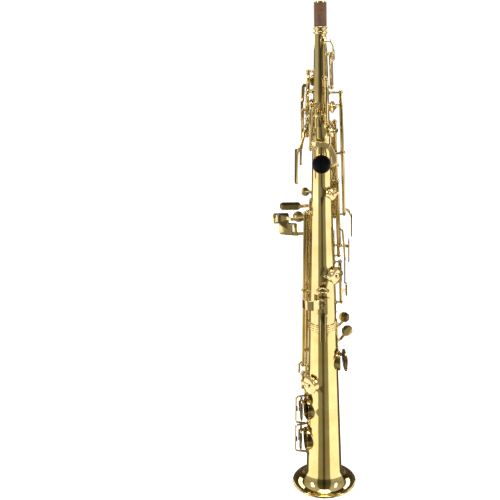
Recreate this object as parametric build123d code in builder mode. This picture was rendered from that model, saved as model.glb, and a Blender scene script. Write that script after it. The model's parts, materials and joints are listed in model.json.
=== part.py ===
"""Straight one-piece soprano saxophone: a conical brass body with a small flared bell,
a corked neck, and about thirty padded keys that swing on rods held by posts.

Frame: millimetres, +Z up. The tube's axis is the Z axis and the bell's rim stands on
z = 0. An angle is measured round the tube from +X towards +Y, seen from above: the
player's side, with the thumb rest and hook, is at -90, the key stacks are at +90.
A place on the tube is an angle, a station along it and a lift off its outer wall.
"""
from build123d import *
import os
from math import cos, radians, sin

os.makedirs("parts", exist_ok=True)

# ---------------------------------------------------------------- driving dimensions
overall_length = 650.0       # bell rim to the open end of the neck
reference_length = 650.0     # length for which the stations below are written
bell_diameter = 88.0
throat_diameter = 49.1       # outside, where the flare begins
throat_station = 22.0
collar_diameter = 14.6       # outside of the tube, just under the cork
collar_station = 612.0
tube_wall = 0.8
bell_joint_station = 240.0   # where the bell section meets the body section
band_width = 10.0
band_proud = 0.8
rim_bead = 1.6               # radius of the rolled rim
cork_length = 27.0
cork_proud = 0.45            # thickness of the cork at its thin, lower end
tip_bare = 1.0               # brass left showing beyond the cork

chimney_height = 3.0
chimney_wall = 0.8
pad_gap = 0.3                # closed pad to chimney
cup_land = 2.75              # how much a cup is wider than its hole, each side
cup_height = 3.6
cup_wall = 0.9
pad_thickness = 1.9
pad_clearance = 0.15

rod_diameter = 2.2
running_clearance = 0.05     # radial, hinge tube on its rod
hinge_tube_diameter = 4.4
end_gap = 0.25               # between a hinge tube and what is next to it
ball_diameter = 5.6          # head of a post
ball_width = 4.4             # over the flats that face the hinge tubes
stem_diameter = 2.6
foot_diameter = 6.4
foot_height = 0.9
guide_clearance = 0.35       # long hinge tubes pass through their guides with this
guide_width = 3.4
guide_wall = 1.0

arm_width = 4.2
arm_thickness = 1.8
pearl_diameter = 9.2
pearl_seat_wall = 0.9
pearl_seat_height = 2.3
pearl_clearance = 0.05
roller_diameter = 4.8
roller_pin_diameter = 1.5
ear_thickness = 1.2
roller_length = 10.0

thumb_rest_diameter = 22.0
thumb_rest_lift = 6.8
strap_ring_diameter = 17.0
strap_ring_wire = 2.2

# ---------------------------------------------------------------- derived dimensions
stretch = overall_length / reference_length


def station(z):
    """A station written for the reference length, moved with the overall length."""
    return z * stretch


slope = (throat_diameter - collar_diameter) / 2 / station(collar_station - throat_station)
hinge_bore = rod_diameter + 2 * running_clearance
rod_radius = rod_diameter / 2


def wall_radius(z):
    """Outer radius of the conical tube at height z."""
    return collar_diameter / 2 + slope * (station(collar_station) - z)


def radial(angle):
    return Vector(cos(radians(angle)), sin(radians(angle)), 0)


def outward(angle):
    return (radial(angle) + Vector(0, 0, slope)).normalized()


def along(angle):
    return (Vector(0, 0, 1) - radial(angle) * slope).normalized()


def at(angle, z, lift=0.0):
    """Point beside the tube; z is written for the reference length."""
    height = station(z)
    return radial(angle) * wall_radius(height) + Vector(0, 0, height) + outward(angle) * lift


def seat_plane(angle, z, lift=0.0):
    """Plane square to the wall: x round the tube, y up it, z outward."""
    tangent = Vector(-sin(radians(angle)), cos(radians(angle)), 0)
    return Plane(origin=at(angle, z, lift), x_dir=tangent, z_dir=outward(angle))


class HingeLine:
    """A line beside the tube that a rod and its hinge tubes lie on."""

    def __init__(self, angle, lift):
        self.angle = angle
        self.lift = lift

    def point(self, z):
        return at(self.angle, z, self.lift)

    def section(self, z):
        return Plane(origin=self.point(z), x_dir=outward(self.angle), z_dir=along(self.angle))

    def axis(self, z=300.0):
        return Axis(self.point(z), along(self.angle))

    def run(self, low, high):
        return (self.point(high) - self.point(low)).length


# Tone holes: angle, station, diameter
holes = {
    "low_bb": (190, 70, 30.0),
    "low_b": (195, 117, 28.0),
    "c_sharp": (221, 158, 20.0),
    "low_c": (-3, 187, 25.0),
    "low_eb": (88, 222, 22.0),
    "d": (90, 258, 20.5),
    "e": (90, 288, 19.5),
    "f": (90, 316.5, 18.5),
    "trill": (-33, 312, 17.0),
    "f_sharp": (90, 345, 16.5),
    "g_sharp": (92, 371.5, 13.5),
    "g": (90, 398, 14.5),
    "side_bb": (-38, 420, 10.5),
    "bis": (90, 423, 9.0),
    "a": (90, 445.5, 12.5),
    "b": (90, 468, 11.0),
    "small_c": (90, 489, 9.5),
    "side_c": (-25, 497, 9.0),
    "high_d": (155, 503, 10.0),
    "high_eb": (140, 527, 9.5),
    "high_e": (-20, 527, 8.5),
    "high_f": (125, 557, 8.5),
}
octave_pips = {"body": (-105, 519, 2.2), "neck": (-72, 606, 2.0)}
pip_height = 3.4
pip_diameter = 4.6

# Hinge lines: angle and lift of the rod
bell_bb_line = HingeLine(134, 7.0)
bell_b_line = HingeLine(150, 7.0)
c_sharp_lever_line = HingeLine(168, 8.0)
c_sharp_line = HingeLine(182, 7.0)
right_pinky_line = HingeLine(44, 7.0)
lower_line = HingeLine(50, 7.0)
trill_line = HingeLine(8, 7.0)
upper_line = HingeLine(40, 7.0)
side_bb_line = HingeLine(-4, 7.0)
side_c_line = HingeLine(20, 7.0)
high_e_line = HingeLine(8, 14.5)
palm_d_line = HingeLine(195, 7.0)
palm_eb_line = HingeLine(180, 7.0)
palm_f_line = HingeLine(165, 7.0)
octave_lever_line = HingeLine(225, 7.0)
body_octave_line = HingeLine(-65, 5.5)
neck_octave_line = HingeLine(-28, 5.5)

# Posts on each line, and guides that long hinge tubes pass through
rod_posts = [
    (bell_bb_line, [52, 364, 405], [150, 274]),
    (bell_b_line, [96, 391], [196, 292]),
    (c_sharp_lever_line, [177, 391], [285]),
    (c_sharp_line, [147, 169], []),
    (right_pinky_line, [172, 232.5], []),
    (lower_line, [249, 303, 362], []),
    (trill_line, [270, 326], []),
    (upper_line, [383.5, 429, 502.5], []),
    (side_bb_line, [350, 434], []),
    (side_c_line, [333, 507], [400, 452]),
    (high_e_line, [389.5, 543], [468]),
    (palm_d_line, [493, 513.5], []),
    (palm_eb_line, [518.7, 545], []),
    (palm_f_line, [546, 569], []),
    (octave_lever_line, [478, 532], []),
    (body_octave_line, [509, 562], []),
    (neck_octave_line, [551, 590], []),
]

# How far each open-standing key stands open, in degrees about its rod
stand_angles = {
    "low_bb_key": 9.0,
    "low_b_key": 12.0,
    "low_c_key": 13.0,
    "d_key": 11.0,
    "e_key": 11.0,
    "f_key": 11.0,
    "f_sharp_key": 11.0,
    "g_key": 9.0,
    "bis_key": 9.0,
    "a_key": 10.0,
    "b_key": 10.0,
    "small_c_key": 10.0,
}


# ---------------------------------------------------------------- shared features
def cone_profile(lift):
    """Half section of the solid cone inside the outer wall, grown by a lift."""
    low = station(-40)
    high = station(700)
    with BuildSketch(Plane.XZ) as inside:
        with BuildLine():
            Polyline(
                (0, low),
                (wall_radius(low) + lift, low),
                (wall_radius(high) + lift, high),
                (0, high),
                close=True,
            )
        make_face()
    return inside.sketch


def cut_tube():
    """Take away everything inside the tube's outer wall."""
    revolve(cone_profile(0), axis=Axis.Z, mode=Mode.SUBTRACT)


def keep_inside(lift):
    """Keep only what lies within a lift off the tube's outer wall."""
    revolve(cone_profile(lift), axis=Axis.Z, mode=Mode.INTERSECT)


def bar(points, width=arm_width, thickness=arm_thickness, radius=2.0):
    """A flat bar that follows the points, its flat side turned away from the tube."""
    with BuildLine() as route:
        if len(points) == 2:
            Line(points[0], points[1])
        else:
            FilletPolyline(*points, radius=radius)
    start = route.line @ 0
    heading = route.line % 0
    away = Vector(start.X, start.Y, 0).normalized()
    across = heading.cross(away)
    if across.length < 0.2:
        across = Vector(0, 0, 1).cross(away)
    with BuildSketch(Plane(origin=start, x_dir=across, z_dir=heading)) as section:
        RectangleRounded(width, thickness, min(width, thickness) * 0.35)
    sweep(section.sketch, path=route.line)


def hinge_tube(line, low, high):
    with BuildSketch(line.section(low)) as section:
        Circle(hinge_tube_diameter / 2)
    extrude(section.sketch, amount=line.run(low, high))


def bore_hinge(line, low, high):
    with BuildSketch(line.section(low - 3)) as section:
        Circle(hinge_bore / 2)
    extrude(section.sketch, amount=line.run(low - 3, high + 3), mode=Mode.SUBTRACT)


def hinge_span(low, high, low_free=False, high_free=False):
    """Stations of a hinge tube's ends between two posts, or between two keys."""
    inset = (ball_width / 2 + end_gap) / stretch
    gap = end_gap / 2 / stretch
    return low + (gap if low_free else inset), high - (gap if high_free else inset)


def cup_radius(hole):
    return holes[hole][2] / 2 + cup_land


def cup_axis_plane(angle, z, lift):
    """Plane through a hole's own axis, for a profile that is turned about it."""
    tangent = Vector(-sin(radians(angle)), cos(radians(angle)), 0)
    return Plane(origin=at(angle, z, lift), x_dir=tangent, z_dir=tangent.cross(outward(angle)))


def turn(profile, plane):
    revolve(profile.sketch, axis=Axis(plane.origin, plane.y_dir))


def cup(hole, hollow=False):
    """Domed key cup, closed on its hole. A hollow one is left open for its own pad."""
    angle, z, bore = holes[hole]
    radius = cup_radius(hole)
    plane = cup_axis_plane(angle, z, chimney_height + pad_gap)
    skirt = 0.5
    with BuildSketch(plane) as profile:
        with BuildLine():
            Line((0, cup_height), (radius * 0.45, cup_height))
            ThreePointArc(
                (radius * 0.45, cup_height),
                (radius * 0.78, cup_height * 0.9),
                (radius * 0.93, cup_height * 0.7),
            )
            Line((radius * 0.93, cup_height * 0.7), (radius, cup_height * 0.62))
            Line((radius, cup_height * 0.62), (radius, skirt))
            if hollow:
                inside = radius - cup_wall
                roof = pad_thickness + pad_clearance
                Polyline((radius, skirt), (inside, skirt), (inside, roof), (0, roof), (0, cup_height))
            else:
                Polyline(
                    (radius, skirt),
                    (radius - cup_wall, skirt),
                    (radius - cup_wall, 0),
                    (0, 0),
                    (0, cup_height),
                )
        make_face()
    turn(profile, plane)


def pad(hole):
    """Leather pad that fills a hollow cup."""
    angle, z, bore = holes[hole]
    radius = cup_radius(hole) - cup_wall
    plane = seat_plane(angle, z, chimney_height + pad_gap)
    with BuildSketch(plane) as disc:
        Circle(radius)
    extrude(disc.sketch, amount=pad_thickness + pad_clearance)


def cup_arm(line, z_hinge, hole, width=arm_width):
    """Arm from a hinge tube, over the rim of the cup, to a round boss at its middle."""
    angle, z, bore = holes[hole]
    seat = seat_plane(angle, z, chimney_height + pad_gap)
    hinge = seat.to_local_coords(line.point(z_hinge))
    top = cup_height + arm_thickness / 2 - 0.25
    side = 1 if hinge.X > 0 else -1
    shoulder = Vector(side * (cup_radius(hole) + 0.5), hinge.Y, top)
    middle = Vector(0, 0, top)
    bar([seat.from_local_coords(p) for p in (hinge, shoulder, middle)], width=width, radius=1.6)
    with BuildSketch(seat_plane(angle, z, chimney_height + pad_gap + cup_height - 0.3)) as boss:
        Circle(width * 0.75)
    extrude(boss.sketch, amount=arm_thickness + 0.2)


def pearl_seat(plane):
    """Round holder for a finger pearl, standing on the plane."""
    outer = pearl_diameter / 2 + pearl_seat_wall
    with BuildSketch(plane) as ring:
        Circle(outer)
    extrude(ring.sketch, amount=pearl_seat_height)
    with BuildSketch(plane.offset(pearl_seat_height - 1.4)) as recess:
        Circle(pearl_diameter / 2 + pearl_clearance)
    extrude(recess.sketch, amount=3.0, mode=Mode.SUBTRACT)


def pearl_disc(plane):
    """Slightly dished mother-of-pearl button in its holder."""
    radius = pearl_diameter / 2
    section = Plane(origin=plane.origin, x_dir=plane.x_dir, z_dir=plane.x_dir.cross(plane.z_dir))
    base = pearl_seat_height - 1.4
    with BuildSketch(section) as profile:
        with BuildLine():
            Polyline((0, base), (radius, base), (radius, base + 1.2))
            ThreePointArc((radius, base + 1.2), (radius * 0.93, base + 1.75), (radius * 0.8, base + 1.9))
            ThreePointArc(
                (radius * 0.8, base + 1.9),
                (radius * 0.4, base + 1.6),
                (radius * 0.1, base + 1.5),
            )
            Polyline((radius * 0.1, base + 1.5), (0, base + 1.5), (0, base))
        make_face()
    turn(profile, section)


def on_cup(hole):
    """Plane on top of a closed cup's boss, for its pearl holder."""
    angle, z, bore = holes[hole]
    return seat_plane(angle, z, chimney_height + pad_gap + cup_height + arm_thickness - 0.3)


def swing(line, angle):
    """Turn the whole piece about its rod."""
    context = BuildPart._get_context()
    context.part = context.part.rotate(line.axis(), angle)


def touch(centre, facing, up, length, width, thickness=1.8, corner=0.45):
    """Rounded finger plate round its centre, length measured along up."""
    facing = Vector(*facing).normalized()
    across = Vector(*up).cross(facing).normalized()
    plane = Plane(origin=Vector(*centre) - facing * thickness / 2, x_dir=across, z_dir=facing)
    with BuildSketch(plane) as outline:
        RectangleRounded(width, length, min(width, length) * corner)
    extrude(outline.sketch, amount=thickness)


def roller_mount(centre, length, toward):
    """Two ears and the pin of a roller that stands beside a finger plate."""
    for side in (-1, 1):
        middle = length / 2 + end_gap + ear_thickness / 2
        face = Plane.XY.offset(centre.Z + side * middle - ear_thickness / 2)
        with BuildSketch(face) as ear:
            with Locations((centre.X + toward * 2.2, centre.Y)):
                RectangleRounded(7.6, 3.4, 1.2)
        extrude(ear.sketch, amount=ear_thickness)
    with BuildSketch(Plane.XY.offset(centre.Z - length / 2 - end_gap - 0.2)) as pin:
        with Locations((centre.X, centre.Y)):
            Circle(roller_pin_diameter / 2)
    extrude(pin.sketch, amount=length + 2 * end_gap + 0.4)


def roller_sleeve(centre, length):
    with BuildSketch(Plane.XY.offset(centre.Z - length / 2)) as ring:
        with Locations((centre.X, centre.Y)):
            Circle(roller_diameter / 2)
            Circle(roller_pin_diameter / 2 + running_clearance, mode=Mode.SUBTRACT)
    extrude(ring.sketch, amount=length)


def shift(point, x=0.0, y=0.0, z=0.0):
    return Vector(point.X + x, point.Y + y, point.Z + z)


# ---------------------------------------------------------------- body and bell
def bore_line(z):
    return wall_radius(z) - tube_wall


joint_height = station(bell_joint_station)
throat_height = throat_station
bell_radius = bell_diameter / 2
throat_radius = wall_radius(throat_height)
flare = bell_radius - throat_radius


def add_chimney(hole):
    angle, z, bore = holes[hole]
    with BuildSketch(seat_plane(angle, z, -bore / 4 - 2)) as ring:
        Circle(bore / 2 + chimney_wall)
    extrude(ring.sketch, amount=bore / 4 + 2 + chimney_height)


def cut_hole(angle, z, bore, height):
    with BuildSketch(seat_plane(angle, z, -bore / 4 - 4)) as opening:
        Circle(bore / 2)
    extrude(opening.sketch, amount=bore / 4 + 5 + height, mode=Mode.SUBTRACT)


bell_holes = ["low_bb", "low_b", "c_sharp", "low_c", "low_eb"]
body_holes = [name for name in holes if name not in bell_holes]

with BuildPart() as bell:
    with BuildSketch(Plane.XZ):
        with BuildLine():
            Line((0, joint_height), (wall_radius(joint_height), joint_height))
            Line((wall_radius(joint_height), joint_height), (throat_radius, throat_height))
            RadiusArc(
                (throat_radius, throat_height),
                (bell_radius - rim_bead, throat_height - flare + 0.1),
                -flare,
            )
            Polyline(
                (bell_radius - rim_bead, throat_height - flare + 0.1),
                (bell_radius - rim_bead, 0.4),
                (0, 0.4),
                (0, joint_height),
            )
        make_face()
    revolve(axis=Axis.Z)
    for name in bell_holes:
        add_chimney(name)
    with BuildSketch(Plane.XZ):
        with BuildLine():
            inner_flare = flare + tube_wall
            Line((0, joint_height + 1), (bore_line(joint_height + 1), joint_height + 1))
            Line(
                (bore_line(joint_height + 1), joint_height + 1),
                (throat_radius - tube_wall, throat_height),
            )
            RadiusArc(
                (throat_radius - tube_wall, throat_height),
                (bell_radius - rim_bead, throat_height - inner_flare + 0.1),
                -inner_flare,
            )
            Polyline(
                (bell_radius - rim_bead, throat_height - inner_flare + 0.1),
                (bell_radius - rim_bead, -1),
                (0, -1),
                (0, joint_height + 1),
            )
        make_face()
    revolve(axis=Axis.Z, mode=Mode.SUBTRACT)
    with BuildSketch(Plane.XZ):
        with Locations((bell_radius - rim_bead, rim_bead - 0.25)):
            Circle(rim_bead)
        with Locations((bell_radius - rim_bead, -2)):
            Rectangle(6, 4, mode=Mode.SUBTRACT)
    revolve(axis=Axis.Z)
    for name in bell_holes:
        cut_hole(*holes[name], chimney_height)

with BuildPart() as body_tube:
    tip = overall_length
    with BuildSketch(Plane.XZ):
        with BuildLine():
            Polyline(
                (0, joint_height),
                (wall_radius(joint_height), joint_height),
                (wall_radius(tip), tip),
                (0, tip),
                close=True,
            )
        make_face()
    revolve(axis=Axis.Z)
    for name in body_holes:
        add_chimney(name)
    with BuildSketch(Plane.XZ):
        with BuildLine():
            Polyline(
                (0, joint_height - 1),
                (bore_line(joint_height - 1), joint_height - 1),
                (bore_line(tip + 1), tip + 1),
                (0, tip + 1),
                close=True,
            )
        make_face()
    revolve(axis=Axis.Z, mode=Mode.SUBTRACT)
    for name in body_holes:
        cut_hole(*holes[name], chimney_height)
    for angle, z, bore in octave_pips.values():
        cut_hole(angle, z, pip_diameter - 1.4, pip_height)

with BuildPart() as joint_band:
    with BuildSketch(Plane.XZ):
        edge = wall_radius(joint_height) + band_proud
        with Locations((edge / 2, joint_height)):
            Rectangle(edge, band_width)
        for step in (-1, 0, 1):
            with Locations((edge, joint_height + step * band_width * 0.3)):
                Rectangle(0.8, band_width * 0.07, mode=Mode.SUBTRACT)
    revolve(axis=Axis.Z)
    cut_tube()

with BuildPart() as octave_pip_tubes:
    for angle, z, bore in octave_pips.values():
        with BuildSketch(seat_plane(angle, z, -tube_wall)):
            Circle((pip_diameter - 1.4) / 2)
        extrude(amount=tube_wall + pip_height)
        with BuildSketch(seat_plane(angle, z, -tube_wall)):
            Circle(pip_diameter / 2 + 0.8)
        extrude(amount=tube_wall + 1.6)
    cut_tube()
    for angle, z, bore in octave_pips.values():
        with BuildSketch(seat_plane(angle, z, -tube_wall - 1)):
            Circle((pip_diameter - 1.4) / 2)
        extrude(amount=tube_wall + 1 + pip_height)
    with BuildSketch(Plane.XZ):
        with BuildLine():
            low = station(-40)
            high = station(700)
            Polyline((0, low), (bore_line(low), low), (bore_line(high), high), (0, high), close=True)
        make_face()
    revolve(axis=Axis.Z, mode=Mode.SUBTRACT)
    for angle, z, bore in octave_pips.values():
        cut_hole(angle, z, bore, pip_height)

# ---------------------------------------------------------------- neck end
cork_top = overall_length - tip_bare
cork_low = cork_top - cork_length
cork_radius = wall_radius(cork_low) + cork_proud

with BuildPart() as neck_cork:
    with BuildSketch(Plane.XY.offset(cork_low)):
        Circle(cork_radius)
    extrude(amount=cork_length)
    fillet(neck_cork.faces().sort_by(Axis.Z)[-1].edges(), 0.4)
    cut_tube()

with BuildPart() as neck_collar:
    ring_low = cork_low - 9
    rise = cork_radius + 0.9
    with BuildSketch(Plane.XZ):
        with BuildLine():
            Polyline(
                (0, ring_low),
                (rise - 0.8, ring_low),
                (rise, ring_low + 1.2),
                (rise, ring_low + 3.2),
                (rise - 0.9, ring_low + 4.0),
                (rise - 0.9, ring_low + 5.6),
                (rise, ring_low + 6.4),
                (rise, cork_low - 0.6),
                (rise - 0.6, cork_low),
                (0, cork_low),
                close=True,
            )
        make_face()
    revolve(axis=Axis.Z)
    cut_tube()

# ---------------------------------------------------------------- posts and rods
ball_radius = ball_diameter / 2


def post(line, z):
    """Turned post: a foot on the wall, a waisted stem and a drilled ball head with two flats."""
    plane = cup_axis_plane(line.angle, z, 0)
    foot = foot_diameter / 2
    stem = stem_diameter / 2
    with BuildPart() as turned:
        with BuildSketch(plane) as profile:
            with BuildLine():
                Polyline(
                    (0, -1.2),
                    (foot, -1.2),
                    (foot, foot_height),
                    (stem + 0.5, foot_height + 0.5),
                    (stem, foot_height + 1.3),
                    (stem, line.lift),
                    (0, line.lift),
                    close=True,
                )
            make_face()
        turn(profile, plane)
        with BuildSketch(plane) as half_ball:
            with Locations((0, line.lift)):
                Circle(ball_radius)
            with Locations((-ball_radius, line.lift)):
                Rectangle(2 * ball_radius, 4 * ball_radius, mode=Mode.SUBTRACT)
        turn(half_ball, plane)
        with BuildSketch(shifted_section(line, z, -ball_width / 2)) as slab:
            Rectangle(60, 60)
        extrude(slab.sketch, amount=ball_width, mode=Mode.INTERSECT)
        with BuildSketch(shifted_section(line, z, -5)) as hole:
            Circle(rod_radius)
        extrude(hole.sketch, amount=10, mode=Mode.SUBTRACT)
        cut_tube()
    return turned.part


def shifted_section(line, z, step):
    """Section of a hinge line a few millimetres along it from a station."""
    origin = line.point(z) + along(line.angle) * step
    return Plane(origin=origin, x_dir=outward(line.angle), z_dir=along(line.angle))


def guide(line, z):
    """Ring on a stem that steadies a long hinge tube."""
    plane = cup_axis_plane(line.angle, z, 0)
    inner = hinge_tube_diameter / 2 + guide_clearance
    foot = foot_diameter * 0.4
    stem = stem_diameter / 2
    with BuildPart() as turned:
        with BuildSketch(plane) as profile:
            with BuildLine():
                Polyline(
                    (0, -1.2),
                    (foot, -1.2),
                    (foot, foot_height),
                    (stem, foot_height + 0.8),
                    (stem, line.lift - inner - 0.4),
                    (0, line.lift - inner - 0.4),
                    close=True,
                )
            make_face()
        turn(profile, plane)
        with BuildSketch(shifted_section(line, z, -guide_width / 2)) as ring:
            Circle(inner + guide_wall)
        extrude(ring.sketch, amount=guide_width)
        with BuildSketch(shifted_section(line, z, -4)) as opening:
            Circle(inner)
        extrude(opening.sketch, amount=8, mode=Mode.SUBTRACT)
        cut_tube()
    return turned.part


def posts_in(low, high):
    """Every post and guide that stands between two stations."""
    found = []
    for line, stations, guides in rod_posts:
        found += [post(line, z) for z in stations if low <= z < high]
        found += [guide(line, z) for z in guides if low <= z < high]
    return found


posts_on_bell = posts_in(0, bell_joint_station)
posts_on_body = posts_in(bell_joint_station, reference_length)

with BuildPart() as bell_posts:
    add(posts_on_bell)

with BuildPart() as body_posts:
    add(posts_on_body)

with BuildPart() as hinge_rods:
    for line, stations, guides in rod_posts:
        overhang = ball_width / 2 / stretch + 0.5
        low = min(stations) - overhang
        high = max(stations) + overhang
        with BuildSketch(line.section(low)):
            Circle(rod_radius)
        extrude(amount=line.run(low, high))

# ---------------------------------------------------------------- thumb side
with BuildPart() as thumb_rest_stand:
    rest_radius = thumb_rest_diameter / 2
    rest_plane = cup_axis_plane(-90, 459, 0)
    with BuildSketch(rest_plane):
        with BuildLine():
            Polyline(
                (0, -9),
                (rest_radius * 0.62, -9),
                (rest_radius * 0.62, 2.0),
                (rest_radius + 0.6, 3.2),
                (rest_radius + 0.6, 4.6),
                (rest_radius, 4.6),
                (rest_radius, 3.8),
                (0, 3.8),
                close=True,
            )
        make_face()
    revolve(axis=Axis(rest_plane.origin, rest_plane.y_dir))
    cut_tube()

with BuildPart() as thumb_rest:
    with BuildSketch(rest_plane):
        with BuildLine():
            Polyline((0, 3.8), (rest_radius, 3.8), (rest_radius, 4.8))
            ThreePointArc(
                (rest_radius, 4.8),
                (rest_radius * 0.6, thumb_rest_lift - 0.4),
                (rest_radius * 0.12, thumb_rest_lift),
            )
            Polyline((rest_radius * 0.12, thumb_rest_lift), (0, thumb_rest_lift), (0, 3.8))
        make_face()
    revolve(axis=Axis(rest_plane.origin, rest_plane.y_dir))

hook_plate_lift = 1.6
hook_thickness = 2.2
with BuildPart() as thumb_hook_plate:
    with BuildSketch(Plane(origin=at(-90, 272, 0), x_dir=(1, 0, 0), z_dir=outward(-90))):
        RectangleRounded(20, 27, 6)
    extrude(amount=12, both=True)
    keep_inside(hook_plate_lift)
    bar([at(-90, 262, 1.8), at(-90, 224, 1.8)], width=6.5, thickness=1.6)
    cut_tube()

with BuildPart() as thumb_hook:
    root = at(-90, 276, hook_plate_lift + hook_thickness / 2 + 0.25)
    reach = wall_radius(station(276))
    bar(
        [
            shift(root, x=6),
            shift(root, x=-5),
            shift(root, x=-reach * 0.7, y=-5.5),
            shift(root, x=-reach - 3, y=-4.0),
            shift(root, x=-reach - 8, y=4.0),
        ],
        width=13.0,
        thickness=hook_thickness,
        radius=3.0,
    )

with BuildPart() as thumb_hook_screw:
    screw_seat = shift(root, x=1, y=-hook_thickness / 2)
    with BuildSketch(Plane(origin=screw_seat, x_dir=(1, 0, 0), z_dir=(0, -1, 0))):
        Circle(3.2)
    extrude(amount=1.8)
    with BuildSketch(Plane(origin=shift(screw_seat, y=-1.8), x_dir=(1, 0, 0), z_dir=(0, -1, 0))):
        Rectangle(8, 0.8)
    extrude(amount=-0.7, mode=Mode.SUBTRACT)

ring_centre = at(-90, 297, 10.0)
with BuildPart() as strap_ring:
    with BuildSketch(Plane(origin=at(-90, 297, 0), x_dir=(1, 0, 0), z_dir=outward(-90))):
        RectangleRounded(11, 7, 2.5)
    extrude(amount=1.6, both=True)
    ring_radius = (strap_ring_diameter - strap_ring_wire) / 2
    with BuildSketch(Plane.XZ.offset(-ring_centre.Y)):
        with Locations((ring_radius, ring_centre.Z)):
            Circle(strap_ring_wire / 2)
    revolve(axis=Axis(ring_centre, (0, 0, 1)))
    cut_tube()

# ---------------------------------------------------------------- bell key guard
guard_angle = 190
guard_lift = 16.2
with BuildPart() as bell_key_guard:
    low_foot, shared_foot, top_foot = 49.0, 93.5, 137.0
    for low, high in ((low_foot, shared_foot), (shared_foot, top_foot)):
        bar(
            [
                at(guard_angle, low, -1),
                at(guard_angle, low + 2.5, guard_lift),
                at(guard_angle, high - 2.5, guard_lift),
                at(guard_angle, high, -1),
            ],
            width=3.4,
            thickness=1.8,
            radius=3.0,
        )
    for z in (low_foot, shared_foot, top_foot):
        with BuildSketch(seat_plane(guard_angle, z, -1)):
            Circle(2.6)
        extrude(amount=2.0)
    cut_tube()

felt_height = 1.2
with BuildPart() as guard_bumpers:
    for hole in ("low_bb", "low_b"):
        with BuildSketch(seat_plane(guard_angle, holes[hole][1], guard_lift - 0.9 - felt_height)):
            Circle(3.6)
        extrude(amount=felt_height)

# ---------------------------------------------------------------- bell keys
with BuildPart() as low_bb_key:
    low, high = hinge_span(52, 364)
    hinge_tube(bell_bb_line, low, high)
    cup("low_bb", hollow=True)
    cup_arm(bell_bb_line, 70, "low_bb", width=5.0)
    start = bell_bb_line.point(359)
    bar([start, shift(start, x=-8, y=2.4), shift(start, x=-22, y=-1), shift(start, x=-33, y=-2)])
    touch((-47, 13.5, start.Z + 7), (0, 1, 0), (0, 0, 1), 16, 18, corner=0.2)
    touch((-35, 13.8, start.Z + 0.2), (0, 1, 0), (0, 0, 1), 4.4, 10)
    low_bb_roller_centre = Vector(-34.2, 13.6, start.Z + 8)
    roller_mount(low_bb_roller_centre, roller_length, -1)
    bore_hinge(bell_bb_line, low, high)
    swing(bell_bb_line, -stand_angles["low_bb_key"])

with BuildPart() as low_bb_roller:
    roller_sleeve(low_bb_roller_centre, roller_length)
    swing(bell_bb_line, -stand_angles["low_bb_key"])

with BuildPart() as low_bb_pad:
    pad("low_bb")
    swing(bell_bb_line, -stand_angles["low_bb_key"])

with BuildPart() as low_b_key:
    low, high = hinge_span(96, 391)
    hinge_tube(bell_b_line, low, high)
    cup("low_b", hollow=True)
    cup_arm(bell_b_line, 117, "low_b", width=5.0)
    start = bell_b_line.point(383)
    bar([start, shift(start, x=-6, y=2), shift(start, x=-13, y=2.6)])
    touch((-31, shift(start, y=2.6).Y, start.Z), (0, 1, 0), (0, 0, 1), 14, 14)
    bore_hinge(bell_b_line, low, high)
    swing(bell_b_line, -stand_angles["low_b_key"])

with BuildPart() as low_b_pad:
    pad("low_b")
    swing(bell_b_line, -stand_angles["low_b_key"])

with BuildPart() as c_sharp_lever:
    low, high = hinge_span(177, 391)
    hinge_tube(c_sharp_lever_line, low, high)
    start = c_sharp_lever_line.point(383)
    bar([start, shift(start, x=-8, y=-0.6), shift(start, x=-18, y=0.5), shift(start, x=-23, y=4.4)])
    touch((-49.5, start.Y + 4.4, start.Z), (0, 1, 0), (0, 0, 1), 14, 15, corner=0.2)
    c_sharp_roller_centre = Vector(-60.4, start.Y + 4.4, start.Z)
    roller_mount(c_sharp_roller_centre, roller_length, 1)
    finger = c_sharp_lever_line.point(182)
    bar([finger, at(172, 180, 12.6), at(174, 166, 12.6)], width=3.6)
    bore_hinge(c_sharp_lever_line, low, high)

with BuildPart() as c_sharp_roller:
    roller_sleeve(c_sharp_roller_centre, roller_length)

with BuildPart() as c_sharp_key:
    low, high = hinge_span(147, 169)
    hinge_tube(c_sharp_line, low, high)
    cup("c_sharp", hollow=True)
    cup_arm(c_sharp_line, 158, "c_sharp")
    tail = c_sharp_line.point(164)
    bar([tail, at(178, 164, 9.6), at(173, 164, 9.9)], width=3.6, radius=1.2)
    bore_hinge(c_sharp_line, low, high)

with BuildPart() as c_sharp_pad:
    pad("c_sharp")

# ---------------------------------------------------------------- right little finger
with BuildPart() as low_c_key:
    low, high = hinge_span(172, 212, high_free=True)
    hinge_tube(right_pinky_line, low, high)
    cup("low_c", hollow=True)
    cup_arm(right_pinky_line, 187, "low_c", width=5.0)
    start = right_pinky_line.point(207)
    bar([start, shift(start, x=5, y=2.0, z=0.5), shift(start, x=11, y=-0.3, z=9)])
    touch((start.X + 14, start.Y - 0.5, start.Z + 13.5), (0.1, 1, 0), (0, 0, 1), 15, 15)
    bore_hinge(right_pinky_line, low, high)
    swing(right_pinky_line, stand_angles["low_c_key"])

with BuildPart() as low_c_pad:
    pad("low_c")
    swing(right_pinky_line, stand_angles["low_c_key"])

with BuildPart() as low_eb_key:
    low, high = hinge_span(212, 232.5, low_free=True)
    hinge_tube(right_pinky_line, low, high)
    cup("low_eb", hollow=True)
    cup_arm(right_pinky_line, 222, "low_eb")
    start = right_pinky_line.point(226)
    bar([start, shift(start, x=2.5, y=2.6, z=2), shift(start, x=8, y=0.5, z=9)], radius=1.5)
    touch((start.X + 10, start.Y + 0.5, start.Z + 15.5), (0.1, 1, 0), (0, 0, 1), 14, 14)
    bore_hinge(right_pinky_line, low, high)

with BuildPart() as low_eb_pad:
    pad("low_eb")


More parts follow.
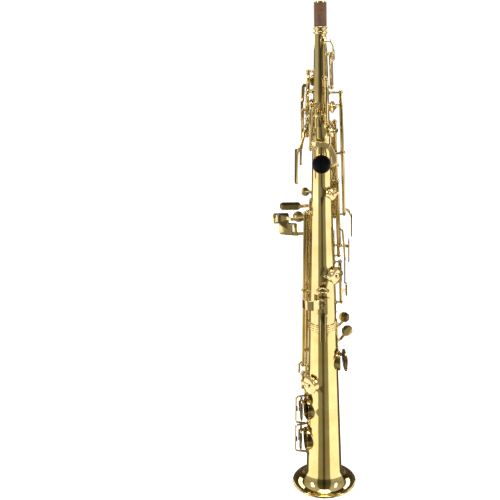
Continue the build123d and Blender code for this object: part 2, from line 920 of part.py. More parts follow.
# ---------------------------------------------------------------- key stacks
def stack_key(line, hole, low, high, low_free, high_free, pearl):
    """Key of the front stacks: hinge tube, arm, cup and, where played, a pearl holder."""
    low, high = hinge_span(low, high, low_free, high_free)
    hinge_tube(line, low, high)
    cup(hole)
    cup_arm(line, holes[hole][1], hole)
    if pearl:
        pearl_seat(on_cup(hole))
    bore_hinge(line, low, high)


with BuildPart() as d_key:
    stack_key(lower_line, "d", 249, 273, False, True, True)
    swing(lower_line, -stand_angles["d_key"])

with BuildPart() as e_key:
    stack_key(lower_line, "e", 273, 303, True, False, True)
    swing(lower_line, -stand_angles["e_key"])

with BuildPart() as f_key:
    stack_key(lower_line, "f", 303, 331, False, True, True)
    swing(lower_line, -stand_angles["f_key"])

with BuildPart() as f_sharp_key:
    stack_key(lower_line, "f_sharp", 331, 362, True, False, False)
    swing(lower_line, -stand_angles["f_sharp_key"])

with BuildPart() as bis_key:
    stack_key(upper_line, "bis", 411, 429, True, False, False)
    swing(upper_line, -stand_angles["bis_key"])

with BuildPart() as a_key:
    stack_key(upper_line, "a", 429, 457, False, True, True)
    swing(upper_line, -stand_angles["a_key"])

with BuildPart() as b_key:
    stack_key(upper_line, "b", 457, 478, True, True, True)
    swing(upper_line, -stand_angles["b_key"])

with BuildPart() as small_c_key:
    stack_key(upper_line, "small_c", 478, 502.5, True, False, False)
    swing(upper_line, -stand_angles["small_c_key"])

g_pearl_plane = Plane(
    origin=Vector(-wall_radius(station(398)) - 8.5, 16.5, station(414)),
    x_dir=(1, 0, 0),
    z_dir=(0, 1, 0),
)
with BuildPart() as g_key:
    low, high = hinge_span(383.5, 411, high_free=True)
    hinge_tube(upper_line, low, high)
    cup("g")
    cup_arm(upper_line, 398, "g")
    middle = on_cup("g").origin
    bar(
        [
            shift(middle, y=-0.7),
            shift(middle, x=-8, y=-0.2, z=5),
            shift(g_pearl_plane.origin, x=7.5, y=0.9),
            shift(g_pearl_plane.origin, y=0.9),
        ],
        width=3.6,
        radius=3.0,
    )
    pearl_seat(g_pearl_plane)
    bore_hinge(upper_line, low, high)
    swing(upper_line, -stand_angles["g_key"])


def pearl_in(plane, line, key):
    pearl_disc(plane)
    swing(line, -stand_angles[key])


with BuildPart() as d_pearl:
    pearl_in(on_cup("d"), lower_line, "d_key")

with BuildPart() as e_pearl:
    pearl_in(on_cup("e"), lower_line, "e_key")

with BuildPart() as f_pearl:
    pearl_in(on_cup("f"), lower_line, "f_key")

with BuildPart() as g_pearl:
    pearl_in(g_pearl_plane, upper_line, "g_key")

with BuildPart() as a_pearl:
    pearl_in(on_cup("a"), upper_line, "a_key")

with BuildPart() as b_pearl:
    pearl_in(on_cup("b"), upper_line, "b_key")

with BuildPart() as g_sharp_key:
    low, high = hinge_span(364, 405)
    hinge_tube(bell_bb_line, low, high)
    cup("g_sharp")
    cup_arm(bell_bb_line, 371.5, "g_sharp")
    start = bell_bb_line.point(397.2)
    bar([start, shift(start, x=-6, y=1.5), shift(start, x=-14, y=-1)])
    touch((start.X - 26, start.Y - 1, start.Z + 0.6), (0, 1, 0), (0, 0, 1), 10, 27)
    bore_hinge(bell_bb_line, low, high)

# ---------------------------------------------------------------- side keys
with BuildPart() as f_sharp_trill_key:
    low, high = hinge_span(270, 326)
    hinge_tube(trill_line, low, high)
    cup("trill", hollow=True)
    cup_arm(trill_line, 312, "trill")
    start = trill_line.point(284)
    bar([start, shift(start, x=5, y=3), shift(start, x=7.5, y=8)])
    touch((start.X + 7.5, start.Y + 9, start.Z), (1, 0.1, 0), (0, 0, 1), 18, 9)
    bore_hinge(trill_line, low, high)

with BuildPart() as trill_pad:
    pad("trill")

with BuildPart() as side_bb_key:
    low, high = hinge_span(350, 434)
    hinge_tube(side_bb_line, low, high)
    cup("side_bb")
    cup_arm(side_bb_line, 420, "side_bb")
    start = side_bb_line.point(372)
    bar(
        [
            start,
            shift(start, x=4.5, y=-1.5, z=-2),
            shift(start, x=7, y=-1, z=-30),
            shift(start, x=7.5, y=3, z=-42),
        ],
        width=5.0,
    )
    touch((start.X + 7.5, start.Y + 4.5, station(315)), (1, 0, 0), (0, 0, 1), 38, 9.5)
    bore_hinge(side_bb_line, low, high)

with BuildPart() as side_c_key:
    low, high = hinge_span(333, 507)
    hinge_tube(side_c_line, low, high)
    cup("side_c")
    cup_arm(side_c_line, 497, "side_c")
    start = side_c_line.point(346)
    bar([start, shift(start, x=5, y=3.5, z=-1), shift(start, x=13.5, y=6, z=-3)])
    touch((start.X + 13.5, start.Y + 8, station(337)), (1, 0, 0), (0, 0, 1), 32, 9.5)
    bore_hinge(side_c_line, low, high)

with BuildPart() as high_e_key:
    low, high = hinge_span(389.5, 543)
    hinge_tube(high_e_line, low, high)
    cup("high_e")
    cup_arm(high_e_line, 527, "high_e")
    start = high_e_line.point(395)
    bar(
        [
            start,
            shift(start, x=5, y=1.5, z=-1),
            shift(start, x=9.5, y=5.5, z=-10),
            shift(start, x=9.5, y=6.5, z=-20),
        ]
    )
    touch((start.X + 9.5, start.Y + 6, station(373)), (1, 0, 0), (0, 0, 1), 31, 9.5)
    bore_hinge(high_e_line, low, high)

# ---------------------------------------------------------------- palm keys
with BuildPart() as high_d_key:
    low, high = hinge_span(493, 513.5)
    hinge_tube(palm_d_line, low, high)
    cup("high_d")
    cup_arm(palm_d_line, 503, "high_d")
    start = palm_d_line.point(498.3)
    bar([start, at(203, 498.3, 12), at(208, 492, 13), at(211, 482, 18), at(208, 472, 22)], width=4.0)
    leaf = at(207, 456, 22.5)
    touch(leaf, outward(200), along(207), 44, 9)
    bore_hinge(palm_d_line, low, high)

with BuildPart() as high_eb_key:
    low, high = hinge_span(518.7, 545)
    hinge_tube(palm_eb_line, low, high)
    cup("high_eb")
    cup_arm(palm_eb_line, 529, "high_eb")
    start = palm_eb_line.point(523.7)
    bar([start, at(187, 523.5, 12.4), at(190, 515, 12.6), at(191, 488, 12.6), at(191, 476, 14)], width=4.0)
    touch(at(190, 469, 14.2), outward(188), along(190), 27, 8)
    bore_hinge(palm_eb_line, low, high)

with BuildPart() as high_f_key:
    low, high = hinge_span(546, 569)
    hinge_tube(palm_f_line, low, high)
    cup("high_f")
    cup_arm(palm_f_line, 558, "high_f")
    start = palm_f_line.point(552)
    bar([start, at(168, 552, 12.5), at(168, 532, 13.5)], width=4.0)
    touch(at(167, 522, 14), outward(170), along(167), 26, 8)
    bore_hinge(palm_f_line, low, high)

# ---------------------------------------------------------------- octave mechanism
with BuildPart() as octave_lever:
    low, high = hinge_span(478, 532)
    hinge_tube(octave_lever_line, low, high)
    bar(
        [
            octave_lever_line.point(485),
            at(250, 485, 9.0),
            at(-88, 484, 9.5),
            at(-62, 481, 9.5),
            at(-46, 470, 9.5),
            at(-40, 457, 10),
        ],
        width=6.5,
        thickness=2.0,
        radius=1.6,
    )
    bar([octave_lever_line.point(526), at(238, 526, 9.0), at(262, 533, 7.5)], width=3.4, radius=1.6)
    bore_hinge(octave_lever_line, low, high)


def octave_key(line, pip, low, high, arm_low, crook):
    """Small sprung key with a pad cup that closes an octave pip."""
    angle, z, bore = octave_pips[pip]
    low, high = hinge_span(low, high)
    hinge_tube(line, low, high)
    with BuildSketch(seat_plane(angle, z, pip_height + pad_gap)) as pad_cup:
        Circle(pip_diameter * 0.8)
    extrude(pad_cup.sketch, amount=2.6)
    bar([line.point(arm_low)] + crook + [at(angle, z, pip_height + pad_gap + 3.2)], width=3.0, radius=1.2)
    bore_hinge(line, low, high)


with BuildPart() as body_octave_key:
    octave_key(body_octave_line, "body", 509, 562, 519, [at(-78, 519, 7.6)])

with BuildPart() as neck_octave_key:
    bent = [at(-30, 583, 9.9), at(-32, 600, 9.9), at(-48, 606, 9.4)]
    octave_key(neck_octave_line, "neck", 551, 590, 581, bent)


# ---------------------------------------------------------------- write the pieces
pieces = {
    "bell": bell,
    "body_tube": body_tube,
    "joint_band": joint_band,
    "octave_pip_tubes": octave_pip_tubes,
    "neck_cork": neck_cork,
    "neck_collar": neck_collar,
    "bell_posts": bell_posts,
    "body_posts": body_posts,
    "hinge_rods": hinge_rods,
    "thumb_rest_stand": thumb_rest_stand,
    "thumb_rest": thumb_rest,
    "thumb_hook_plate": thumb_hook_plate,
    "thumb_hook": thumb_hook,
    "thumb_hook_screw": thumb_hook_screw,
    "strap_ring": strap_ring,
    "bell_key_guard": bell_key_guard,
    "guard_bumpers": guard_bumpers,
    "low_bb_key": low_bb_key,
    "low_bb_pad": low_bb_pad,
    "low_bb_roller": low_bb_roller,
    "low_b_key": low_b_key,
    "low_b_pad": low_b_pad,
    "c_sharp_lever": c_sharp_lever,
    "c_sharp_roller": c_sharp_roller,
    "c_sharp_key": c_sharp_key,
    "c_sharp_pad": c_sharp_pad,
    "low_c_key": low_c_key,
    "low_c_pad": low_c_pad,
    "low_eb_key": low_eb_key,
    "low_eb_pad": low_eb_pad,
    "d_key": d_key,
    "d_pearl": d_pearl,
    "e_key": e_key,
    "e_pearl": e_pearl,
    "f_key": f_key,
    "f_pearl": f_pearl,
    "f_sharp_key": f_sharp_key,
    "f_sharp_trill_key": f_sharp_trill_key,
    "trill_pad": trill_pad,
    "g_sharp_key": g_sharp_key,
    "g_key": g_key,
    "g_pearl": g_pearl,
    "bis_key": bis_key,
    "a_key": a_key,
    "a_pearl": a_pearl,
    "b_key": b_key,
    "b_pearl": b_pearl,
    "small_c_key": small_c_key,
    "side_bb_key": side_bb_key,
    "side_c_key": side_c_key,
    "high_d_key": high_d_key,
    "high_eb_key": high_eb_key,
    "high_e_key": high_e_key,
    "high_f_key": high_f_key,
    "octave_lever": octave_lever,
    "body_octave_key": body_octave_key,
    "neck_octave_key": neck_octave_key,
}
for name, piece in pieces.items():
    piece.part.label = name
    export_step(piece.part, f"parts/{name}.step")
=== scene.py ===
"""Looks of a straight soprano saxophone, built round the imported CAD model.

Everything is in metres in the CAD's frame: +Z up the tube, the bell's rim on z = 0,
-Y towards the player. Angles run round the tube from +X towards +Y.
"""

import json
import math

import bpy
from mathutils import Matrix, Vector


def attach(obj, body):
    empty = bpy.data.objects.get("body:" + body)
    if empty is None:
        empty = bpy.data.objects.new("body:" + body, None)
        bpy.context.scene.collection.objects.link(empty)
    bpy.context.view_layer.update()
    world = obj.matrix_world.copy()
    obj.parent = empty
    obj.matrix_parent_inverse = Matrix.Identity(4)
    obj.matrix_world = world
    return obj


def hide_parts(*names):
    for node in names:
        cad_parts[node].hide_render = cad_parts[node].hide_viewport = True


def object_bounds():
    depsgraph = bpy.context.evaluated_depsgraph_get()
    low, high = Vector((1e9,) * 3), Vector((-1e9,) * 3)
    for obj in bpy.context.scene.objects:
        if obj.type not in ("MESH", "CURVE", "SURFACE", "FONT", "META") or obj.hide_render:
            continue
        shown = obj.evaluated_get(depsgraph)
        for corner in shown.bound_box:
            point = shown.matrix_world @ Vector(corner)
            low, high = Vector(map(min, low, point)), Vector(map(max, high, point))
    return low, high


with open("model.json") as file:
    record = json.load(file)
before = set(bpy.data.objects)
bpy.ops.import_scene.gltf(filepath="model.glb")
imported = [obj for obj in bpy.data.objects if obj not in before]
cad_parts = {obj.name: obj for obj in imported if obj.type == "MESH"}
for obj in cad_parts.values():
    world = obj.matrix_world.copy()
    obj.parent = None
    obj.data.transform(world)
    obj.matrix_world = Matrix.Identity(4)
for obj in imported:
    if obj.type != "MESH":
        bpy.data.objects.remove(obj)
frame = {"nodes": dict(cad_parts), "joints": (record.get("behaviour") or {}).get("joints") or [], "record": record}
cad_low, cad_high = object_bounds()
MM = 0.001
record = frame["record"]
joints = {joint["child"]: joint for joint in frame["joints"]}

# ------------------------------------------------------------------ the tube's own shape
total_length = cad_high.z
tube_slope = 0.02924
collar_radius = 7.3 * MM
collar_station = 612 * MM
chimney_height = 3.0 * MM
pad_gap = 0.3 * MM
cup_land = 2.75 * MM
cup_wall = 0.9 * MM
loose_pad_thickness = 1.9 * MM    # where the pad stands for a CAD pad
sunk_pad_thickness = 0.52 * MM    # where the CAD cup is solid and the pad is set into it
pad_skin = 0.05 * MM              # how far the leather stands below the CAD's pad plane
rim_bead = 0.45 * MM              # rolled edge of a tone hole
edge_softening = 0.18 * MM

# Tone holes: angle, station and bore in mm, the body of the key that closes it,
# and the CAD pad that the leather pad stands for, if there is one
HOLES = [
    (190, 70, 30.0, "low_bb_key", "low_bb_pad"),
    (195, 117, 28.0, "low_b_key", "low_b_pad"),
    (221, 158, 20.0, "c_sharp_key", "c_sharp_pad"),
    (-3, 187, 25.0, "low_c_key", "low_c_pad"),
    (88, 222, 22.0, "low_eb_key", "low_eb_pad"),
    (90, 258, 20.5, "d_key", None),
    (90, 288, 19.5, "e_key", None),
    (90, 316.5, 18.5, "f_key", None),
    (-33, 312, 17.0, "f_sharp_trill_key", "trill_pad"),
    (90, 345, 16.5, "f_sharp_key", None),
    (92, 371.5, 13.5, "g_sharp_key", None),
    (90, 398, 14.5, "g_key", None),
    (-38, 420, 10.5, "side_bb_key", None),
    (90, 423, 9.0, "bis_key", None),
    (90, 445.5, 12.5, "a_key", None),
    (90, 468, 11.0, "b_key", None),
    (90, 489, 9.5, "small_c_key", None),
    (-25, 497, 9.0, "side_c_key", None),
    (155, 503, 10.0, "high_d_key", None),
    (140, 527, 9.5, "high_eb_key", None),
    (-20, 527, 8.5, "high_e_key", None),
    (125, 557, 8.5, "high_f_key", None),
]
OPEN_STANDING = {
    "low_bb_key", "low_b_key", "low_c_key", "d_key", "e_key", "f_key", "f_sharp_key",
    "g_key", "bis_key", "a_key", "b_key", "small_c_key",
}


def wall_radius(z):
    return collar_radius + tube_slope * (collar_station - z)


def radial(angle):
    return Vector((math.cos(math.radians(angle)), math.sin(math.radians(angle)), 0))


def outward(angle):
    return (radial(angle) + Vector((0, 0, tube_slope))).normalized()


def at(angle, z, lift=0.0):
    """Point beside the tube: angle in degrees, station and lift in metres."""
    return radial(angle) * wall_radius(z) + Vector((0, 0, z)) + outward(angle) * lift


def seat(angle, z, lift=0.0):
    """Matrix whose Z axis points out of the wall, for a turned piece."""
    normal = outward(angle)
    tangent = Vector((-math.sin(math.radians(angle)), math.cos(math.radians(angle)), 0))
    up = normal.cross(tangent)
    matrix = Matrix((tangent, up, normal)).transposed().to_4x4()
    matrix.translation = at(angle, z, lift)
    return matrix


def standing(body):
    """How a key's closed place turns into its place at rest."""
    if body not in OPEN_STANDING:
        return Matrix.Identity(4)
    joint = joints[body]
    low, high = joint["range_deg"]
    limit = low if abs(low) > abs(high) else high
    pivot = Vector(joint["pos_m"])
    turn = Matrix.Rotation(math.radians(-limit), 4, Vector(joint["axis"]))
    return Matrix.Translation(pivot) @ turn @ Matrix.Translation(-pivot)


# ------------------------------------------------------------------ materials
def new_material(name):
    material = bpy.data.materials.new(name)
    material.use_nodes = True
    tree = material.node_tree
    return material, tree, tree.nodes["Principled BSDF"]


def node(tree, kind, **settings):
    made = tree.nodes.new(kind)
    for key, value in settings.items():
        setattr(made, key, value)
    return made


def place(tree, stretch=(1, 1, 1)):
    """Object coordinates, stretched along the axes."""
    coordinates = node(tree, "ShaderNodeTexCoord")
    mapping = node(tree, "ShaderNodeMapping")
    mapping.inputs["Scale"].default_value = stretch
    tree.links.new(coordinates.outputs["Object"], mapping.inputs["Vector"])
    return mapping.outputs["Vector"]


def noise(tree, scale, detail=4.0, stretch=(1, 1, 1), rough=0.55):
    made = node(tree, "ShaderNodeTexNoise")
    made.inputs["Scale"].default_value = scale
    made.inputs["Detail"].default_value = detail
    made.inputs["Roughness"].default_value = rough
    tree.links.new(place(tree, stretch), made.inputs["Vector"])
    return made.outputs["Fac"]


def ramp(tree, factor, stops):
    made = node(tree, "ShaderNodeValToRGB")
    elements = made.color_ramp.elements
    while len(elements) < len(stops):
        elements.new(0.5)
    for element, (position, colour) in zip(elements, stops):
        element.position = position
        element.color = (*colour, 1.0)
    tree.links.new(factor, made.inputs["Fac"])
    return made.outputs["Color"]


def spread(tree, factor, low, high, start=0.3, end=0.7):
    """Maps factor from start..end to low..high, held at both ends."""
    made = node(tree, "ShaderNodeMapRange")
    made.inputs["From Min"].default_value = start
    made.inputs["From Max"].default_value = end
    made.inputs["To Min"].default_value = low
    made.inputs["To Max"].default_value = high
    tree.links.new(factor, made.inputs["Value"])
    return made.outputs["Result"]


def bump(tree, shader, height, strength, distance):
    made = node(tree, "ShaderNodeBump")
    made.inputs["Strength"].default_value = strength
    made.inputs["Distance"].default_value = distance
    tree.links.new(height, made.inputs["Height"])
    tree.links.new(made.outputs["Normal"], shader.inputs["Normal"])


def maths(tree, operation, first, second):
    made = node(tree, "ShaderNodeMath", operation=operation)
    for socket, value in zip(made.inputs, (first, second)):
        if isinstance(value, (int, float)):
            socket.default_value = value
        else:
            tree.links.new(value, socket)
    return made.outputs["Value"]


def multiplied(tree, first, second, share=1.0):
    """Colour product of two outputs; the named sockets of this node repeat, so they go by place."""
    made = node(tree, "ShaderNodeMix", data_type="RGBA", blend_type="MULTIPLY")
    made.inputs[0].default_value = share
    tree.links.new(first, made.inputs[6])
    tree.links.new(second, made.inputs[7])
    return made.outputs[2]


def lacquered_brass(name, deep, light, rough=(0.05, 0.11), engraved=False):
    """Polished brass under clear lacquer, with faint wear, hairlines and handling marks."""
    material, tree, shader = new_material(name)
    shader.inputs["Metallic"].default_value = 1.0
    shader.inputs["Coat Weight"].default_value = 0.25
    shader.inputs["Coat Roughness"].default_value = 0.04
    cloud = noise(tree, 38, detail=5)
    middle = tuple((a + b) / 2 for a, b in zip(deep, light))
    tree.links.new(
        ramp(tree, cloud, [(0.30, deep), (0.52, middle), (0.74, light)]),
        shader.inputs["Base Color"],
    )
    smudge = noise(tree, 160, detail=6, stretch=(1, 1, 0.35))
    tree.links.new(spread(tree, smudge, *rough), shader.inputs["Roughness"])
    hairlines = noise(tree, 900, detail=3, stretch=(1, 1, 0.04))
    height = maths(tree, "MULTIPLY", hairlines, 0.35)
    if engraved:
        height = maths(tree, "ADD", height, engraving(tree))
    bump(tree, shader, height, 0.016 if not engraved else 0.10, 0.0002)
    return material


def engraving(tree):
    """Shallow generic scrolls cut into one side of the bell, faded out at their border."""
    swirl = node(tree, "ShaderNodeTexWave", wave_type="RINGS", rings_direction="SPHERICAL")
    swirl.inputs["Scale"].default_value = 95
    swirl.inputs["Distortion"].default_value = 9.0
    swirl.inputs["Detail"].default_value = 1.0
    swirl.inputs["Detail Scale"].default_value = 1.4
    middle = at(-62, 122 * MM)
    shifted = node(tree, "ShaderNodeMapping")
    shifted.inputs["Location"].default_value = -middle
    coordinates = node(tree, "ShaderNodeTexCoord")
    tree.links.new(coordinates.outputs["Object"], shifted.inputs["Vector"])
    tree.links.new(shifted.outputs["Vector"], swirl.inputs["Vector"])
    far = node(tree, "ShaderNodeVectorMath", operation="LENGTH")
    squeeze = node(tree, "ShaderNodeMapping")
    squeeze.inputs["Scale"].default_value = (1.0, 1.0, 0.34)
    tree.links.new(shifted.outputs["Vector"], squeeze.inputs["Vector"])
    tree.links.new(squeeze.outputs["Vector"], far.inputs[0])
    fade = spread(tree, far.outputs["Value"], 1.0, 0.0, 0.010, 0.017)
    line = spread(tree, swirl.outputs["Fac"], -1.0, 0.0, 0.05, 0.22)
    return maths(tree, "MULTIPLY", line, fade)


def steel(tone=(0.62, 0.60, 0.56)):
    material, tree, shader = new_material("rod_steel")
    shader.inputs["Metallic"].default_value = 1.0
    turned = noise(tree, 700, detail=3, stretch=(1, 1, 3))
    darker = tuple(value * 0.82 for value in tone)
    tree.links.new(ramp(tree, turned, [(0.3, darker), (0.7, tone)]), shader.inputs["Base Color"])
    tree.links.new(spread(tree, turned, 0.22, 0.36), shader.inputs["Roughness"])
    bump(tree, shader, turned, 0.08, 0.0001)
    return material


def cork():
    material, tree, shader = new_material("cork")
    grain = noise(tree, 620, detail=8, rough=0.7)
    flecks = node(tree, "ShaderNodeTexVoronoi")
    flecks.inputs["Scale"].default_value = 420
    tree.links.new(place(tree, (1, 1, 0.6)), flecks.inputs["Vector"])
    base = ramp(
        tree,
        grain,
        [(0.28, (0.050, 0.024, 0.012)), (0.50, (0.165, 0.082, 0.042)), (0.72, (0.260, 0.140, 0.075))],
    )
    pit = ramp(tree, flecks.outputs["Distance"], [(0.0, (0.35, 0.30, 0.26)), (0.35, (1, 1, 1))])
    tree.links.new(multiplied(tree, base, pit, 0.55), shader.inputs["Base Color"])
    tree.links.new(spread(tree, grain, 0.50, 0.80), shader.inputs["Roughness"])
    bump(tree, shader, maths(tree, "ADD", grain, flecks.outputs["Distance"]), 0.45, 0.0003)
    return material


def leather(name, deep, light):
    material, tree, shader = new_material(name)
    pores = node(tree, "ShaderNodeTexVoronoi")
    pores.inputs["Scale"].default_value = 1500
    tree.links.new(place(tree), pores.inputs["Vector"])
    tone = noise(tree, 150, detail=5)
    tree.links.new(ramp(tree, tone, [(0.3, deep), (0.7, light)]), shader.inputs["Base Color"])
    tree.links.new(spread(tree, tone, 0.45, 0.65), shader.inputs["Roughness"])
    shader.inputs["Sheen Weight"].default_value = 0.15
    bump(tree, shader, pores.outputs["Distance"], 0.30, 0.0002)
    return material


def mother_of_pearl():
    material, tree, shader = new_material("mother_of_pearl")
    layers = noise(tree, 210, detail=3, stretch=(1, 0.4, 1))
    tree.links.new(
        ramp(
            tree,
            layers,
            [
                (0.30, (0.74, 0.72, 0.68)),
                (0.45, (0.90, 0.86, 0.82)),
                (0.58, (0.76, 0.84, 0.84)),
                (0.72, (0.93, 0.90, 0.86)),
            ],
        ),
        shader.inputs["Base Color"],
    )
    tree.links.new(spread(tree, layers, 0.12, 0.24), shader.inputs["Roughness"])
    shader.inputs["Coat Weight"].default_value = 0.8
    shader.inputs["Coat Roughness"].default_value = 0.05
    shader.inputs["Specular IOR Level"].default_value = 0.7
    bump(tree, shader, layers, 0.05, 0.0002)
    return material


def black_plastic():
    material, tree, shader = new_material("black_plastic")
    scuff = noise(tree, 420, detail=7, stretch=(1, 1, 0.2))
    tree.links.new(
        ramp(tree, scuff, [(0.35, (0.0015, 0.0015, 0.002)), (0.75, (0.005, 0.005, 0.006))]),
        shader.inputs["Base Color"],
    )
    tree.links.new(spread(tree, scuff, 0.18, 0.34), shader.inputs["Roughness"])
    shader.inputs["Specular IOR Level"].default_value = 0.22
    bump(tree, shader, scuff, 0.06, 0.0001)
    return material


def felt(name, deep, light):
    material, tree, shader = new_material(name)
    fibres = noise(tree, 2200, detail=8, rough=0.8)
    tree.links.new(ramp(tree, fibres, [(0.3, deep), (0.7, light)]), shader.inputs["Base Color"])
    shader.inputs["Roughness"].default_value = 0.95
    shader.inputs["Sheen Weight"].default_value = 0.5
    bump(tree, shader, fibres, 0.5, 0.0003)
    return material


def pale_floor():
    material, tree, shader = new_material("pale_floor")
    mottle = noise(tree, 6, detail=3)
    tree.links.new(
        ramp(tree, mottle, [(0.3, (0.86, 0.86, 0.86)), (0.7, (0.90, 0.90, 0.895))]),
        shader.inputs["Base Color"],
    )
    shader.inputs["Roughness"].default_value = 0.9
    shader.inputs["Specular IOR Level"].default_value = 0.1
    shader.inputs["Emission Color"].default_value = (1, 1, 1, 1)
    shader.inputs["Emission Strength"].default_value = 0.85
    return material


MATERIALS = {
    "lacquered_brass": lacquered_brass("lacquered_brass", (0.70, 0.54, 0.22), (0.86, 0.72, 0.38)),
    "bell_brass": lacquered_brass(
        "bell_brass", (0.72, 0.54, 0.19), (0.88, 0.72, 0.33), engraved=True
    ),
    "key_brass": lacquered_brass(
        "key_brass", (0.68, 0.51, 0.21), (0.88, 0.73, 0.40), rough=(0.06, 0.14)
    ),
    "rod_steel": steel(),
    "cork": cork(),
    "pad_leather": leather("pad_leather", (0.10, 0.050, 0.024), (0.24, 0.13, 0.062)),
    "pearl": mother_of_pearl(),
    "black_plastic": black_plastic(),
    "bumper_felt": felt("bumper_felt", (0.010, 0.010, 0.010), (0.045, 0.045, 0.045)),
    "roller_resin": lacquered_brass("roller_brass", (0.80, 0.56, 0.14), (0.95, 0.76, 0.30)),
}


# ------------------------------------------------------------------ mesh tools
def finish_piece(piece, material, body):
    piece.data.materials.clear()
    piece.data.materials.append(MATERIALS[material])
    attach(piece, body)


def mesh_piece(name, points, faces, matrix):
    mesh = bpy.data.meshes.new(name)
    mesh.from_pydata([tuple(p) for p in points], [], faces)
    mesh.transform(matrix)
    mesh.validate()
    mesh.update()
    mesh.polygons.foreach_set("use_smooth", [True] * len(mesh.polygons))
    piece = bpy.data.objects.new(name, mesh)
    bpy.context.collection.objects.link(piece)
    return piece


def lathe(name, profile, matrix, segments=40):
    """Turned solid: profile is (radius, height) from the axis out and back to the axis."""
    points, faces = [Vector((0, 0, profile[0][1]))], []
    rings = profile[1:-1]
    for radius, height in rings:
        for step in range(segments):
            turn = 2 * math.pi * step / segments
            points.append(Vector((radius * math.cos(turn), radius * math.sin(turn), height)))
    points.append(Vector((0, 0, profile[-1][1])))
    last = len(points) - 1
    for step in range(segments):
        following = (step + 1) % segments
        faces.append((0, 1 + following, 1 + step))
        for ring in range(len(rings) - 1):
            low, high = 1 + ring * segments, 1 + (ring + 1) * segments
            faces.append((low + step, low + following, high + following, high + step))
        outer = 1 + (len(rings) - 1) * segments
        faces.append((outer + step, outer + following, last))
    return mesh_piece(name, points, faces, matrix)


def ring(name, major, minor, matrix, segments=56, sides=10):
    """Torus about the matrix's Z axis."""
    points, faces = [], []
    for step in range(segments):
        turn = 2 * math.pi * step / segments
        for side in range(sides):
            roll = 2 * math.pi * side / sides
            reach = major + minor * math.cos(roll)
            height = minor * math.sin(roll)
            points.append(Vector((reach * math.cos(turn), reach * math.sin(turn), height)))
    for step in range(segments):
        here, there = step * sides, (step + 1) % segments * sides
        for side in range(sides):
            across = (side + 1) % sides
            faces.append((here + side, there + side, there + across, here + across))
    return mesh_piece(name, points, faces, matrix)


# ------------------------------------------------------------------ CAD nodes
def node_material(name):
    if name == "bell":
        return "bell_brass"
    if name in ("body_tube", "joint_band", "neck_collar"):
        return "lacquered_brass"
    slots = {part["node"]: part["material_slot"] for part in record["subparts"]}
    found = slots[name]
    return "key_brass" if found == "lacquered_brass" else found


for name, piece in frame["nodes"].items():
    piece.data.materials.clear()
    piece.data.materials.append(MATERIALS[node_material(name)])
    weld = piece.modifiers.new("weld", "WELD")
    weld.merge_threshold = 1e-6
    piece.data.polygons.foreach_set("use_smooth", [True] * len(piece.data.polygons))
    if name not in ("hinge_rods", "octave_pip_tubes"):
        soften = piece.modifiers.new("soften", "BEVEL")
        soften.limit_method = "ANGLE"
        soften.angle_limit = math.radians(40)
        soften.width = edge_softening
        soften.segments = 2
        soften.harden_normals = True

# ------------------------------------------------------------------ pads and tone-hole rims
for angle, z, bore, body, replaced in HOLES:
    hole = bore / 2 * MM
    reach = hole + cup_land - cup_wall
    key = body.replace("_key", "")
    place_at_rest = standing(body) @ seat(angle, z * MM, chimney_height + pad_gap)
    thick = loose_pad_thickness if replaced else sunk_pad_thickness
    edge = reach - (0.06 * MM if replaced else -0.03 * MM)
    leather_pad = lathe(
        key + "_leather_pad",
        [
            (0, thick),
            (edge, thick),
            (edge, 0.30 * MM),
            (edge - 0.12 * MM, 0.06 * MM),
            (edge - 0.45 * MM, -pad_skin),
            (hole + 0.55 * MM, -pad_skin),
            (hole + 0.42 * MM, -pad_skin + 0.04 * MM),
            (hole - 0.10 * MM, -pad_skin + 0.04 * MM),
            (hole - 0.35 * MM, -pad_skin - 0.06 * MM),
            (hole / 3, -pad_skin - 0.10 * MM),
            (0, -pad_skin - 0.10 * MM),
        ],
        place_at_rest,
    )
    finish_piece(leather_pad, "pad_leather", body)
    if replaced:
        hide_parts(replaced)
    booster = bore * 0.22 * MM
    resonator = lathe(
        key + "_resonator",
        [
            (0, 0.0),
            (booster, 0.0),
            (booster, -0.22 * MM),
            (booster * 0.93, -0.34 * MM),
            (booster * 0.45, -0.48 * MM),
            (booster * 0.22, -0.62 * MM),
            (0, -0.66 * MM),
        ],
        place_at_rest,
        segments=28,
    )
    finish_piece(resonator, "key_brass", body)
    rim = ring(
        key + "_hole_rim",
        hole + 0.4 * MM,
        rim_bead,
        seat(angle, z * MM, chimney_height - 0.40 * MM),
    )
    finish_piece(rim, "lacquered_brass", "instrument")

# ------------------------------------------------------------------ floor, lights, camera
def floor(half=12.0):
    """Wide pale floor, hidden from reflections so that the brass mirrors the world instead."""
    mesh = bpy.data.meshes.new("floor")
    corners = [(-half, -half, 0), (half, -half, 0), (half, half, 0), (-half, half, 0)]
    mesh.from_pydata(corners, [], [(0, 1, 2, 3)])
    mesh.materials.append(pale_floor())
    piece = bpy.data.objects.new("floor", mesh)
    piece.location.z = -0.0002
    piece.visible_glossy = False
    bpy.context.collection.objects.link(piece)


floor()


def area_light(name, position, target, size, power):
    data = bpy.data.lights.new(name, "AREA")
    data.shape = "RECTANGLE"
    data.size, data.size_y = size
    data.energy = power
    lamp = bpy.data.objects.new(name, data)
    lamp.location = position
    lamp.rotation_mode = "QUATERNION"
    lamp.rotation_quaternion = (Vector(target) - Vector(position)).to_track_quat("-Z", "Y")
    bpy.context.collection.objects.link(lamp)


middle = (0, 0, total_length / 2)
area_light("softbox_left", (-1.3, -0.5, 1.15), middle, (0.35, 0.8), 6)
area_light("softbox_right", (1.3, -0.5, 1.15), middle, (0.3, 0.8), 5)
area_light("softbox_back_left", (-1.0, 1.1, 1.0), middle, (0.5, 1.2), 7)
area_light("softbox_back_right", (1.0, 1.1, 1.0), middle, (0.5, 1.2), 6)
area_light("softbox_top", (0, -0.2, 2.2), middle, (0.9, 0.9), 12)

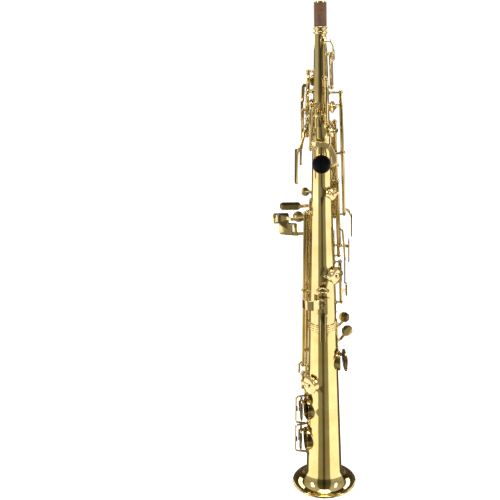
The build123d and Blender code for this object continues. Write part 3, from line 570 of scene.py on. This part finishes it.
# The world: plain white to the camera. To everything else it is a studio whose brightness
# depends on direction: a dark gap towards the player, a pale panel on each side and a dim back,
# fading out above the horizon. The bearing is 0 towards the player and 1 away from them.
world = bpy.data.worlds.new("studio")
bpy.context.scene.world = world
world.use_nodes = True
tree = world.node_tree
background = tree.nodes["Background"]
direction = node(tree, "ShaderNodeTexCoord")
split = node(tree, "ShaderNodeSeparateXYZ")
tree.links.new(direction.outputs["Generated"], split.inputs["Vector"])
sideways = maths(tree, "ABSOLUTE", split.outputs["X"], 0.0)
backwards = maths(tree, "MULTIPLY", split.outputs["Y"], -1.0)
bearing = maths(tree, "DIVIDE", maths(tree, "ARCTAN2", sideways, backwards), math.pi)
panels = ramp(
    tree,
    bearing,
    [
        (0.000, (0.06, 0.05, 0.035)),
        (0.035, (0.09, 0.08, 0.055)),
        (0.060, (0.20, 0.19, 0.14)),
        (0.200, (0.22, 0.21, 0.16)),
        (0.235, (1.00, 0.98, 0.92)),
        (0.640, (1.00, 0.98, 0.92)),
        (0.690, (0.06, 0.045, 0.03)),
        (0.820, (0.08, 0.06, 0.04)),
        (1.000, (0.26, 0.24, 0.20)),
    ],
)
height = ramp(
    tree,
    spread(tree, split.outputs["Z"], 0.0, 1.0, -1.0, 1.0),
    [
        (0.04, (0.10, 0.09, 0.08)),
        (0.12, (1.00, 1.00, 1.00)),
        (0.41, (1.00, 1.00, 1.00)),
        (0.45, (0.34, 0.33, 0.30)),
        (0.70, (0.24, 0.23, 0.21)),
        (1.00, (0.42, 0.42, 0.42)),
    ],
)
tree.links.new(multiplied(tree, panels, height), background.inputs["Color"])
background.inputs["Strength"].default_value = 1.5
path = node(tree, "ShaderNodeLightPath")
plain = node(tree, "ShaderNodeBackground")
choose = node(tree, "ShaderNodeMixShader")
tree.links.new(path.outputs["Is Camera Ray"], choose.inputs["Fac"])
tree.links.new(background.outputs["Background"], choose.inputs[1])
tree.links.new(plain.outputs["Background"], choose.inputs[2])
tree.links.new(choose.outputs["Shader"], tree.nodes["World Output"].inputs["Surface"])
plain.inputs["Color"].default_value = (1.0, 1.0, 1.0, 1)
bpy.context.scene.view_settings.view_transform = "Standard"

camera_data = bpy.data.cameras.new("camera")
camera_data.sensor_width = 36
camera_data.lens = 62.65
camera_data.clip_start = 0.05
camera_yaw, camera_pitch, camera_roll = 5.02, 19.006, -2.119
camera = bpy.data.objects.new("camera", camera_data)
camera.location = (0, -1.056, 0.709)
camera.rotation_mode = "QUATERNION"
aim = (
    Matrix.Rotation(math.radians(camera_yaw), 3, "Z")
    @ Matrix.Rotation(math.radians(90 - camera_pitch), 3, "X")
    @ Matrix.Rotation(math.radians(camera_roll), 3, "Z")
)
camera.rotation_quaternion = aim.to_quaternion()
bpy.context.collection.objects.link(camera)
bpy.context.scene.camera = camera
